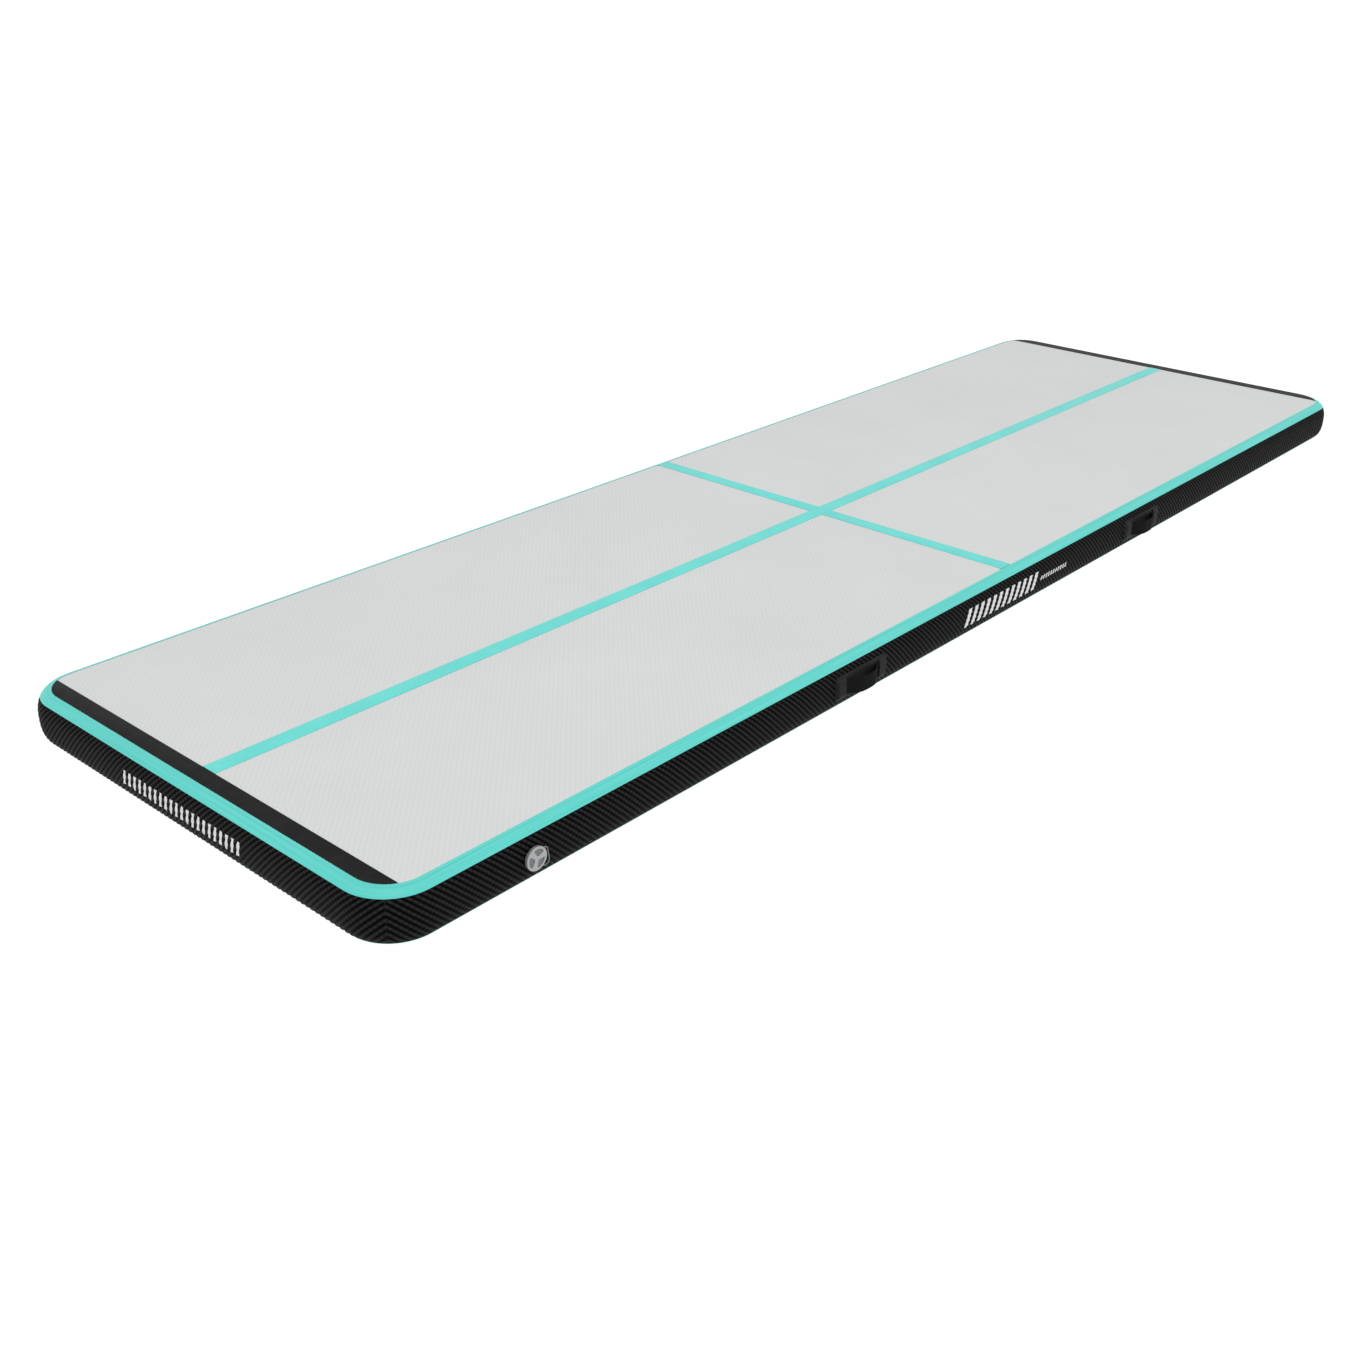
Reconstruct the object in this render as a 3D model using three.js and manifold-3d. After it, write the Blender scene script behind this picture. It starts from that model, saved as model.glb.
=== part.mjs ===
// An air track mat: an inflatable drop-stitch tumbling mat with a carry handle at each quarter
// of its long sides and a push-and-turn air valve near one corner.
// Millimetres. X runs along the mat, Y across it and Z up. The origin is on the floor, under the
// middle of the mat. The front is the long side at -Y, and the near end is the one at -X.
import * as THREE from "three";
import { LoftGeometry } from "three/addons/geometries/LoftGeometry.js";
import { mergeVertices } from "three/addons/utils/BufferGeometryUtils.js";
import Module from "manifold-3d";

const wasm = await Module();
wasm.setup();

// ---- Driving dimensions -------------------------------------------------------------------

const GAP = 0.3; // between pieces that touch

// The inflated body
const LENGTH = 3224.5;
const WIDTH = 1000;
const BODY_HEIGHT = 95.6; // from the floor to the bare deck
const CORNER_RADIUS = 93.3; // of the outline, seen from above
const CORNER_STEPS = 6;
const WALL_BULGE = 42.1; // how far the side wall swells out past the flat of the deck
const BULGE_POWER = 2.78; // of the superellipse that the side wall follows
const WALL_STEPS = 10;
const SHOULDER_STEPS = 3; // under the rail tape
const TAPE_STEPS = 5;

// Sheets
const SKIN = 0.9; // coated fabric of the deck, the underside and the outer wall
const LINER = 0.8; // the airtight inner wall
const TAPE = 0.4;
const LINE = 0.5;

// Where the sheets end, measured outwards from the flat of the deck, and the width of the lines
const DECK_EDGE = 13.7;
const SKIN_EDGE = 19.5;
const TAPE_EDGE = 33.9;
const BOTTOM_TAPE_EDGE = 27.5; // further under the mat, where it hardly shows
const LINER_EDGE = 9;
const LINE_WIDTH = 34;
const END_STRIPE_WIDTH = 32.3;
const STRIPE_END_STEPS = 5; // round each of a stripe's corners

// The drop-stitch core
const CORE_INSET = 44;
const CORE_SHEET = 0.6;
const YARN_ROWS = 5;
const YARNS_PER_ROW = 14;
const YARN_WIDTH = 8;
const YARN_PITCH = 210; // along the mat
const YARN_ROW_PITCH = 195; // across the mat

// Carry handles
const HANDLE_X = 525; // from the middle of the mat
const PATCH = { halfLength: 76.5, halfHeight: 23.5, corner: 8, thickness: 1.0 };
const COVER = { halfLength: 11.5, halfHeight: 20, corner: 4, thickness: 1.0 };
const COVER_X = 61.5; // from the middle of the handle
const PAD_STEPS = 3;
const PAD_ROWS = 6;
const WEBBING_WIDTH = 30;
const WEBBING = 2.0;
const WEBBING_END = 71; // where the webbing stops under its cover
const LOOP_HALF_SPAN = 47; // where the webbing leaves the patch
const LOOP_SPLIT = 30; // where the loop starts to swing
const LOOP_STAND_OFF = 19; // of the webbing's middle plane from the wall
const LOOP_POWER = 1.8; // a higher one makes a flatter crown
const LOOP_STEPS = 12;
const LOOP_END_STEPS = 5;

// Air valve. Its axis stands square to the front wall, and heights are out from that wall.
const VALVE_X = -1332;
const VALVE_Z = 48.8;
const VALVE_HOLE_DEPTH = 20; // of the drill through both walls
const ROUND_STEPS = 28;
const BARREL = { inner: 12, outer: 14.2, bottom: -26 };
const NECK = { outer: 15.1, top: 3.6 };
const FLANGE = { outer: 18, bottom: 1.1, top: 1.9 };
const OUTER_GASKET = { outer: 17.6, bottom: GAP, top: FLANGE.bottom - GAP };
const INNER_GASKET = { outer: 17.4, bottom: -4.5, top: -3.7 };
const BACKNUT = { outer: 18, bottom: -8, top: INNER_GASKET.bottom - GAP };
const HUB = { inner: 2.5, outer: 4.8, bottom: -16, top: -13 };
const HUB_ARMS = 3;
const HUB_ARM_WIDTH = 2.4;
const SEAL_DISC = { inner: 2.5, outer: 13.4, thickness: 3.3 };
const STEM = { radius: 2.2, head: 4.2, headHeight: 1.3 };
const BUTTON = { radius: 4.8, bottom: -1.5, top: 1.5, edge: 0.8, slot: 1.6 };
const SPRING = { radius: 3.4, wire: 0.4, turns: 4, stepsPerTurn: 12, sides: 6, clear: 0.5 };
const CAP = { outer: 20, groove: 18, grooveTop: 3.4, inner: 15.5, face: 7, bevel: 1.4 };
const CAP_LOBE = { inner: 4.6, outer: 16.2, halfAngle: 0.8, depth: 1.6, first: 1.22, steps: 6 };
const CAP_LOBES = 3;
const CAP_SEAL = { inner: 12.2, outer: 14.8, thickness: 0.6 };
const RING_WIDTH = 1.2;
const BASE_RING = { bottom: FLANGE.bottom, top: FLANGE.top - GAP, inner: FLANGE.outer + GAP };
const CAP_RING = { bottom: FLANGE.top + 2 * GAP, top: CAP.grooveTop - GAP, inner: CAP.groove + GAP };
const TETHER = { radius: 0.8, steps: 24, sides: 8 };

// The tether's route from the ring under the cap to the ring in the cap's groove: the distance from
// the valve's axis and the angle in degrees, from the right-hand side up.
const TETHER_ROUTE = [
  [21, 27],
  [24.2, 21],
  [25.7, 12],
  [26.2, 1],
  [27.4, -12],
  [30.2, -23],
  [31.9, -33],
  [30.6, -42],
  [26.6, -50],
  [21, -57],
];

// ---- Finishes -----------------------------------------------------------------------------

const finish = (color, roughness) => new THREE.MeshStandardMaterial({ color, roughness, metalness: 0 });
const GREY_DECK = finish(0xd6d8d7, 0.6);
const BLACK_WALL = finish(0x1b1b1b, 0.55);
const BLACK_SMOOTH = finish(0x252625, 0.5);
const TEAL = finish(0x68dcd0, 0.45);
const WEBBING_BLACK = finish(0x1e1e20, 0.8);
const LINER_GREY = finish(0x8e9292, 0.6);
const YARN_WHITE = finish(0xe6e4dc, 0.9);
const VALVE_GREY = finish(0xb2b4b5, 0.4);
const SEAL_BLACK = finish(0x161616, 0.8);
const SPRING_STEEL = new THREE.MeshStandardMaterial({ color: 0xc8cacc, roughness: 0.3, metalness: 1 });

// ---- Solids -------------------------------------------------------------------------------

const steps = (count) => Array.from({ length: count + 1 }, (_, i) => i / count);

function mesh(name, geometry, material) {
  const made = new THREE.Mesh(geometry, material);
  made.name = name;
  return made;
}

// The geometry with one vertex at each point, no empty triangles, and its faces turned outwards.
function closed(geometry) {
  const bare = new THREE.BufferGeometry().copy(geometry);
  bare.deleteAttribute("normal");
  bare.deleteAttribute("uv");
  const merged = mergeVertices(bare, 1e-4);
  const corner = [new THREE.Vector3(), new THREE.Vector3(), new THREE.Vector3()];
  const faces = [];
  let volume = 0;
  for (let i = 0; i < merged.index.count; i += 3) {
    const face = [0, 1, 2].map((k) => merged.index.getX(i + k));
    if (new Set(face).size === 3) {
      faces.push(...face);
      corner.forEach((point, k) => point.fromBufferAttribute(merged.attributes.position, face[k]));
      volume += corner[0].dot(corner[1].cross(corner[2]));
    }
  }
  merged.setIndex(volume < 0 ? faces.reverse() : faces);
  return merged;
}

function solid(geometry) {
  const merged = closed(geometry);
  const vertProperties = merged.attributes.position.array;
  const triVerts = new Uint32Array(merged.index.array);
  return new wasm.Manifold(new wasm.Mesh({ numProp: 3, vertProperties, triVerts }));
}

function geometryOf(manifold) {
  const made = manifold.getMesh();
  const geometry = new THREE.BufferGeometry();
  geometry.setAttribute("position", new THREE.BufferAttribute(new Float32Array(made.vertProperties), 3));
  geometry.setIndex(new THREE.BufferAttribute(new Uint32Array(made.triVerts), 1));
  geometry.computeVertexNormals();
  return geometry;
}

function cut(geometry, tools) {
  return geometryOf(tools.reduce((body, tool) => body.subtract(solid(tool)), solid(geometry)));
}

function join(geometry, others) {
  return geometryOf(others.reduce((body, other) => body.add(solid(other)), solid(geometry)));
}

// ---- The outline and the side wall's cross-section ----------------------------------------

const CORNER_SIGNS = [
  [1, 1],
  [-1, 1],
  [-1, -1],
  [1, -1],
];

// A point of the outline moved inwards by `inset`, `turn` of the way round one of its corners.
function outlinePoint({ corner, turn }, { inset, z }) {
  const [signX, signY] = CORNER_SIGNS[corner];
  const angle = ((corner + turn) * Math.PI) / 2;
  const radius = CORNER_RADIUS - inset;
  return new THREE.Vector3(
    signX * (LENGTH / 2 - CORNER_RADIUS) + radius * Math.cos(angle),
    signY * (WIDTH / 2 - CORNER_RADIUS) + radius * Math.sin(angle),
    z,
  );
}

const ALL_ROUND = CORNER_SIGNS.flatMap((_, corner) => steps(CORNER_STEPS).map((turn) => ({ corner, turn })));

// The angle, from the top of the superellipse, where it has run `out` outwards.
const angleAt = (out) => Math.asin((out / WALL_BULGE) ** (BULGE_POWER / 2));

// A point `depth` under the wall's outer face, at an angle from the top of its cross-section.
function wallPoint(depth, angle) {
  const power = 2 / BULGE_POWER;
  const out = (WALL_BULGE - depth) * Math.sin(angle) ** power;
  const up = (BODY_HEIGHT / 2 - depth) * Math.sign(Math.cos(angle)) * Math.abs(Math.cos(angle)) ** power;
  return { inset: WALL_BULGE - out, z: BODY_HEIGHT / 2 + up };
}

// The closed cross-section of a sheet that lies between two depths.
function sheetProfile(outerDepth, innerDepth, from, to, count) {
  const angles = steps(count).map((share) => from + (to - from) * share);
  const outer = angles.map((angle) => wallPoint(outerDepth, angle));
  const inner = angles.map((angle) => wallPoint(innerDepth, angle));
  return [...outer, ...inner.reverse()];
}

const crossSection = (station, profile) => profile.map((point) => outlinePoint(station, point));

function ring(profile) {
  const sections = ALL_ROUND.map((station) => crossSection(station, profile));
  return closed(new LoftGeometry([...sections, sections[0]]));
}

// A closed plate whose rim follows the cross-section from one flat face to the other.
function plate(rim) {
  const loops = rim.map((point) => ALL_ROUND.map((station) => outlinePoint(station, point)));
  const middle = (z) => ALL_ROUND.map(() => new THREE.Vector3(0, 0, z));
  return closed(new LoftGeometry([middle(rim[0].z), ...loops, middle(rim.at(-1).z)]));
}

const mirrored = ({ inset, z }) => ({ inset, z: BODY_HEIGHT - z });

// ---- Skins, walls and core ----------------------------------------------------------------

// A face sheet: flat over the deck, then down the shoulder to its edge under the rail tape.
function skinRim() {
  const angles = steps(SHOULDER_STEPS).map((share) => angleAt(SKIN_EDGE - GAP) * share);
  const outer = angles.map((angle) => wallPoint(0, angle));
  const inner = angles.map((angle) => wallPoint(SKIN, angle));
  return [...outer, ...inner.reverse()];
}

const topSkin = () => mesh("top_skin", plate(skinRim()), GREY_DECK);
const bottomSkin = () => mesh("bottom_skin", plate(skinRim().map(mirrored)), GREY_DECK);

// One side of the outer wall, from the mitre in the middle of a corner to the next mitre.
function outerWall(name, corner, holes = []) {
  const start = angleAt(SKIN_EDGE);
  const profile = sheetProfile(0, SKIN, start, Math.PI - start, WALL_STEPS);
  const halfGap = GAP / (Math.PI * CORNER_RADIUS); // as a share of a corner's turn
  const half = steps(CORNER_STEPS / 2);
  const next = (corner + 1) % CORNER_SIGNS.length;
  const leaving = half.map((share) => ({ corner, turn: 0.5 + halfGap + (0.5 - halfGap) * share }));
  const arriving = half.map((share) => ({ corner: next, turn: (0.5 - halfGap) * share }));
  const sections = [...leaving, ...arriving].map((station) => crossSection(station, profile));
  const strip = new LoftGeometry(sections, { capStart: true, capEnd: true });
  return mesh(name, holes.length ? cut(strip, holes) : closed(strip), BLACK_WALL);
}

function innerWall(holes) {
  const depth = SKIN + GAP;
  const start = angleAt(LINER_EDGE);
  const profile = sheetProfile(depth, depth + LINER, start, Math.PI - start, WALL_STEPS);
  return mesh("inner_sidewall", cut(ring(profile), holes), LINER_GREY);
}

// Two woven sheets held apart by rows of yarns. Each post stands for a bundle of them.
function dropStitchCore() {
  const lowest = SKIN + GAP;
  const sheet = (z) => plate([{ inset: CORE_INSET, z }, { inset: CORE_INSET, z: z + CORE_SHEET }]);
  const highest = BODY_HEIGHT - lowest - CORE_SHEET;
  const yarns = [];
  for (let row = 0; row < YARN_ROWS; row++) {
    for (let i = 0; i < YARNS_PER_ROW; i++) {
      const yarn = new THREE.BoxGeometry(YARN_WIDTH, YARN_WIDTH, highest - lowest);
      const x = (i - (YARNS_PER_ROW - 1) / 2) * YARN_PITCH;
      const y = (row - (YARN_ROWS - 1) / 2) * YARN_ROW_PITCH;
      yarns.push(yarn.translate(x, y, BODY_HEIGHT / 2));
    }
  }
  return mesh("drop_stitch_core", join(sheet(lowest), [sheet(highest), ...yarns]), YARN_WHITE);
}

// ---- Tape, lines and stripes --------------------------------------------------------------

function railTape(name, edge, place) {
  const profile = sheetProfile(-GAP - TAPE, -GAP, angleAt(DECK_EDGE), angleAt(edge), TAPE_STEPS);
  return mesh(name, ring(profile.map(place)), TEAL);
}

const DECK_INSET = WALL_BULGE - DECK_EDGE;
const STRIPE_X = LENGTH / 2 - DECK_INSET - END_STRIPE_WIDTH;
const DECK_Y = WIDTH / 2 - DECK_INSET;

// A flat strip lying on the deck between two corners of a rectangle.
function deckLine(name, [x0, y0], [x1, y1]) {
  const strip = new THREE.BoxGeometry(x1 - x0, y1 - y0, LINE);
  strip.translate((x0 + x1) / 2, (y0 + y1) / 2, BODY_HEIGHT + GAP + LINE / 2);
  return mesh(name, strip, TEAL);
}

// The black stripe across one end of the deck, with its ends rounded like the deck's corners.
function endStripe(name, turn) {
  const radius = CORNER_RADIUS - DECK_INSET;
  const centreX = LENGTH / 2 - CORNER_RADIUS;
  const centreY = WIDTH / 2 - CORNER_RADIUS;
  const reach = Math.acos((STRIPE_X + GAP - centreX) / radius);
  const outline = new THREE.Shape();
  outline.absarc(centreX, -centreY, radius, -reach, 0, false);
  outline.absarc(centreX, centreY, radius, 0, reach, false);
  const options = { depth: LINE, bevelEnabled: false, curveSegments: STRIPE_END_STEPS };
  const stripe = new THREE.ExtrudeGeometry(outline, options);
  stripe.translate(0, 0, BODY_HEIGHT + GAP);
  stripe.rotateZ(turn);
  return mesh(name, stripe, BLACK_SMOOTH);
}

function deckMarkings() {
  const half = LINE_WIDTH / 2;
  const end = STRIPE_X - GAP;
  const side = DECK_Y - GAP;
  return [
    deckLine("centre_line", [-end, -half], [end, half]),
    deckLine("cross_line_front", [-half, -side], [half, -half - GAP]),
    deckLine("cross_line_back", [-half, half + GAP], [half, side]),
    endStripe("near_end_stripe", Math.PI),
    endStripe("far_end_stripe", 0),
  ];
}

// ---- Carry handles ------------------------------------------------------------------------

// How far out from the middle of the mat the front wall is at a height, raised by `lift`.
function wallReach(z, lift) {
  const share = Math.abs(z - BODY_HEIGHT / 2) / (BODY_HEIGHT / 2 + lift);
  return WIDTH / 2 - WALL_BULGE + (WALL_BULGE + lift) * (1 - share ** BULGE_POWER) ** (1 / BULGE_POWER);
}

// A sheet with rounded corners that lies along the front wall.
function pad({ halfLength, halfHeight, corner, thickness }, middleX, lift) {
  const turns = steps(PAD_STEPS).map((share) => (share * Math.PI) / 2);
  const half = turns.map((turn) => ({
    x: halfLength - corner + corner * Math.sin(turn),
    reach: halfHeight - corner + corner * Math.cos(turn),
  }));
  const stations = [...half.map(({ x, reach }) => ({ x: -x, reach })).reverse(), ...half];
  const sections = stations.map(({ x, reach }) => {
    const heights = steps(PAD_ROWS).map((share) => BODY_HEIGHT / 2 + reach * (2 * share - 1));
    const at = (z, raised) => new THREE.Vector3(middleX + x, -wallReach(z, raised), z);
    const inner = heights.map((z) => at(z, lift));
    const outer = heights.map((z) => at(z, lift + thickness));
    return [...inner, ...outer.reverse()];
  });
  return closed(new LoftGeometry(sections, { capStart: true, capEnd: true }));
}

// The webbing lies flat over the bulge of the wall, and its covers follow the bulge above its edges.
const WEBBING_LIFT = 2 * GAP + PATCH.thickness;
const WALL_DROP = WIDTH / 2 - wallReach((BODY_HEIGHT + WEBBING_WIDTH) / 2, 0);
const COVER_LIFT = WEBBING_LIFT + WEBBING + GAP + WALL_DROP;

// How far the webbing's middle plane stands off the wall, at x from the middle of the handle.
function standOff(x) {
  const base = WEBBING_LIFT + WEBBING / 2;
  const share = Math.min(Math.abs(x) / LOOP_HALF_SPAN, 1) ** LOOP_POWER;
  return base + ((LOOP_STAND_OFF - base) * (1 + Math.cos(Math.PI * share))) / 2;
}

// A length of the webbing, cut square to X at each end.
function webbing(xs) {
  const sections = xs.map((x) => {
    const slope = standOff(x + 0.5) - standOff(x - 0.5); // over a millimetre
    const half = (WEBBING / 2) * Math.hypot(1, slope);
    const near = -WIDTH / 2 - standOff(x) + half;
    const far = -WIDTH / 2 - standOff(x) - half;
    const low = BODY_HEIGHT / 2 - WEBBING_WIDTH / 2;
    const high = BODY_HEIGHT / 2 + WEBBING_WIDTH / 2;
    return [
      [near, low],
      [near, high],
      [far, high],
      [far, low],
    ].map(([y, z]) => new THREE.Vector3(x, y, z));
  });
  return closed(new LoftGeometry(sections, { capStart: true, capEnd: true }));
}

// The handle of one quarter of the mat, drawn for the front wall and turned for the back one.
function handle(name, x, turn) {
  const loop = steps(LOOP_STEPS).map((share) => LOOP_SPLIT * (2 * share - 1));
  const end = LOOP_SPLIT + GAP;
  const rise = steps(LOOP_END_STEPS).map((share) => end + (LOOP_HALF_SPAN - end) * share);
  const right = [...rise, WEBBING_END];
  const left = right.map((at) => -at).reverse();
  const group = new THREE.Group();
  group.position.x = x;
  group.rotation.z = turn;
  group.add(
    mesh(`${name}_patch`, pad(PATCH, 0, GAP), BLACK_SMOOTH),
    mesh(`${name}_loop`, webbing(loop), WEBBING_BLACK),
    mesh(`${name}_left_end`, webbing(left), WEBBING_BLACK),
    mesh(`${name}_right_end`, webbing(right), WEBBING_BLACK),
    mesh(`${name}_left_cover`, pad(COVER, -COVER_X, COVER_LIFT), BLACK_SMOOTH),
    mesh(`${name}_right_cover`, pad(COVER, COVER_X, COVER_LIFT), BLACK_SMOOTH),
  );
  return group;
}

// ---- Air valve ----------------------------------------------------------------------------
// Drawn round the Y axis, with Y pointing out of the wall, and turned to the front wall at the end.

function turned(points) {
  const profile = points.map(([radius, height]) => new THREE.Vector2(radius, height));
  return closed(new THREE.LatheGeometry(profile, ROUND_STEPS));
}

// A round ring with a rectangular cross-section.
function washer(inner, outer, bottom, top) {
  return turned([
    [inner, bottom],
    [outer, bottom],
    [outer, top],
    [inner, top],
    [inner, bottom],
  ]);
}

function valveHole() {
  const radius = BARREL.outer + GAP;
  const drill = new THREE.CylinderGeometry(radius, radius, VALVE_HOLE_DEPTH, ROUND_STEPS);
  return drill.translate(VALVE_X, -WIDTH / 2, VALVE_Z);
}

function valveBody() {
  const shell = turned([
    [BARREL.inner, BARREL.bottom],
    [BARREL.outer, BARREL.bottom],
    [BARREL.outer, FLANGE.bottom],
    [FLANGE.outer, FLANGE.bottom],
    [FLANGE.outer, FLANGE.top],
    [NECK.outer, FLANGE.top],
    [NECK.outer, NECK.top],
    [BARREL.inner, NECK.top],
    [BARREL.inner, BARREL.bottom],
  ]);
  const hub = washer(HUB.inner, HUB.outer, HUB.bottom, HUB.top);
  const start = (HUB.inner + HUB.outer) / 2;
  const end = (BARREL.inner + BARREL.outer) / 2;
  const arms = steps(HUB_ARMS - 1).map((_, i) => {
    const arm = new THREE.BoxGeometry(end - start, HUB.top - HUB.bottom, HUB_ARM_WIDTH);
    arm.translate((start + end) / 2, (HUB.top + HUB.bottom) / 2, 0);
    return arm.rotateY((i * 2 * Math.PI) / HUB_ARMS);
  });
  return mesh("valve_body", join(shell, [hub, ...arms]), VALVE_GREY);
}

const DISC_TOP = BARREL.bottom - GAP;
const DISC_BOTTOM = DISC_TOP - SEAL_DISC.thickness;

function valveStem() {
  const headTop = DISC_BOTTOM - GAP;
  const bottom = headTop - STEM.headHeight;
  const shaft = turned([
    [0, bottom],
    [STEM.head, bottom],
    [STEM.head, headTop],
    [STEM.radius, headTop],
    [STEM.radius, BUTTON.bottom],
    [BUTTON.radius, BUTTON.bottom],
    [BUTTON.radius, BUTTON.top - BUTTON.edge],
    [BUTTON.radius - BUTTON.edge, BUTTON.top],
    [0, BUTTON.top],
  ]);
  const slot = new THREE.BoxGeometry(3 * BUTTON.radius, BUTTON.slot, BUTTON.slot);
  return mesh("valve_stem", cut(shaft, [slot.translate(0, BUTTON.top, 0)]), VALVE_GREY);
}

class Helix extends THREE.Curve {
  constructor(radius, bottom, top, turns) {
    super();
    Object.assign(this, { radius, bottom, top, turns });
  }

  getPoint(share, target = new THREE.Vector3()) {
    const angle = share * this.turns * 2 * Math.PI;
    const height = this.bottom + (this.top - this.bottom) * share;
    return target.set(this.radius * Math.cos(angle), height, this.radius * Math.sin(angle));
  }
}

// A closed tube of round section along a curve.
function tube(path, radius, along, sides) {
  const section = new THREE.Shape();
  section.absarc(0, 0, radius, 0, 2 * Math.PI);
  const options = { steps: along, extrudePath: path, curveSegments: sides, bevelEnabled: false };
  return closed(new THREE.ExtrudeGeometry(section, options));
}

function valveSpring() {
  const margin = SPRING.wire + SPRING.clear;
  const path = new Helix(SPRING.radius, HUB.top + margin, BUTTON.bottom - margin, SPRING.turns);
  const wire = tube(path, SPRING.wire, SPRING.turns * SPRING.stepsPerTurn, SPRING.sides);
  return mesh("valve_spring", wire, SPRING_STEEL);
}

// One of the three hollows that fingers turn the cap by.
function capLobe(turn) {
  const middle = CAP_LOBE.first + turn;
  const from = middle - CAP_LOBE.halfAngle;
  const to = middle + CAP_LOBE.halfAngle;
  const outline = new THREE.Shape();
  outline.absarc(0, 0, CAP_LOBE.outer, from, to, false);
  const innerHalf = CAP_LOBE.halfAngle / 2;
  outline.absarc(0, 0, CAP_LOBE.inner, middle + innerHalf, middle - innerHalf, true);
  const hollow = new THREE.ExtrudeGeometry(outline, {
    depth: 2 * CAP_LOBE.depth,
    bevelEnabled: false,
    curveSegments: CAP_LOBE.steps,
  });
  return hollow.translate(0, 0, CAP.face - CAP_LOBE.depth).rotateX(-Math.PI / 2);
}

function valveCap() {
  const bottom = FLANGE.top + GAP;
  const roof = NECK.top + CAP_SEAL.thickness + 2 * GAP;
  const shell = turned([
    [0, roof],
    [CAP.inner, roof],
    [CAP.inner, bottom],
    [CAP.groove, bottom],
    [CAP.groove, CAP.grooveTop],
    [CAP.outer, CAP.grooveTop],
    [CAP.outer, CAP.face - CAP.bevel],
    [CAP.outer - CAP.bevel / 2, CAP.face],
    [0, CAP.face],
  ]);
  const lobes = steps(CAP_LOBES - 1).map((_, i) => capLobe((i * 2 * Math.PI) / CAP_LOBES));
  return mesh("valve_cap", cut(shell, lobes), VALVE_GREY);
}

const tetherRing = (name, { bottom, top, inner }) =>
  mesh(name, washer(inner, inner + RING_WIDTH, bottom, top), VALVE_GREY);

// The strap that keeps the cap, climbing from one ring to the other. The valve is drawn upside
// down, so an angle up from the right-hand side has its Z turned round.
function tetherStrap() {
  const low = (BASE_RING.bottom + BASE_RING.top) / 2;
  const high = (CAP_RING.bottom + CAP_RING.top) / 2;
  const points = TETHER_ROUTE.map(([radius, degrees], i) => {
    const angle = THREE.MathUtils.degToRad(degrees);
    const height = THREE.MathUtils.lerp(low, high, i / (TETHER_ROUTE.length - 1));
    return new THREE.Vector3(radius * Math.cos(angle), height, -radius * Math.sin(angle));
  });
  const path = new THREE.CatmullRomCurve3(points);
  return mesh("tether_strap", tube(path, TETHER.radius, TETHER.steps, TETHER.sides), VALVE_GREY);
}

function valve() {
  const seal = NECK.top + GAP;
  const clamped = (name, { outer, bottom, top }, material) =>
    mesh(name, washer(BARREL.outer + GAP, outer, bottom, top), material);
  const group = new THREE.Group();
  group.position.set(VALVE_X, -WIDTH / 2, VALVE_Z);
  group.rotation.x = Math.PI;
  group.add(
    valveBody(),
    clamped("outer_gasket", OUTER_GASKET, SEAL_BLACK),
    clamped("inner_gasket", INNER_GASKET, SEAL_BLACK),
    clamped("backnut", BACKNUT, VALVE_GREY),
    mesh("seal_disc", washer(SEAL_DISC.inner, SEAL_DISC.outer, DISC_BOTTOM, DISC_TOP), SEAL_BLACK),
    valveStem(),
    valveSpring(),
    valveCap(),
    mesh("cap_seal", washer(CAP_SEAL.inner, CAP_SEAL.outer, seal, seal + CAP_SEAL.thickness), SEAL_BLACK),
    tetherRing("tether_base_ring", BASE_RING),
    tetherRing("tether_cap_ring", CAP_RING),
    tetherStrap(),
  );
  return group;
}

// ---- The whole mat ------------------------------------------------------------------------

const mat = new THREE.Group();
mat.add(
  topSkin(),
  bottomSkin(),
  dropStitchCore(),
  innerWall([valveHole()]),
  outerWall("back_sidewall", 0),
  outerWall("near_end_sidewall", 1),
  outerWall("front_sidewall", 2, [valveHole()]),
  outerWall("far_end_sidewall", 3),
  railTape("top_rail_tape", TAPE_EDGE, (point) => point),
  railTape("bottom_rail_tape", BOTTOM_TAPE_EDGE, mirrored),
  ...deckMarkings(),
  handle("front_near_handle", -HANDLE_X, 0),
  handle("front_far_handle", HANDLE_X, 0),
  handle("back_near_handle", -HANDLE_X, Math.PI),
  handle("back_far_handle", HANDLE_X, Math.PI),
  valve(),
);

export default mat;
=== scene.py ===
"""The looks of an air track mat: woven deck, ribbed side wall, taped rails, carry handles and valve.

Metres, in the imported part's frame: X along the mat, Y across it, Z up, with the origin on the
floor under the middle of the mat. The front is the long side at -Y, where the valve is.
"""
import math

import bmesh
import bpy
import numpy as np
from mathutils import Matrix, Vector


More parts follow.
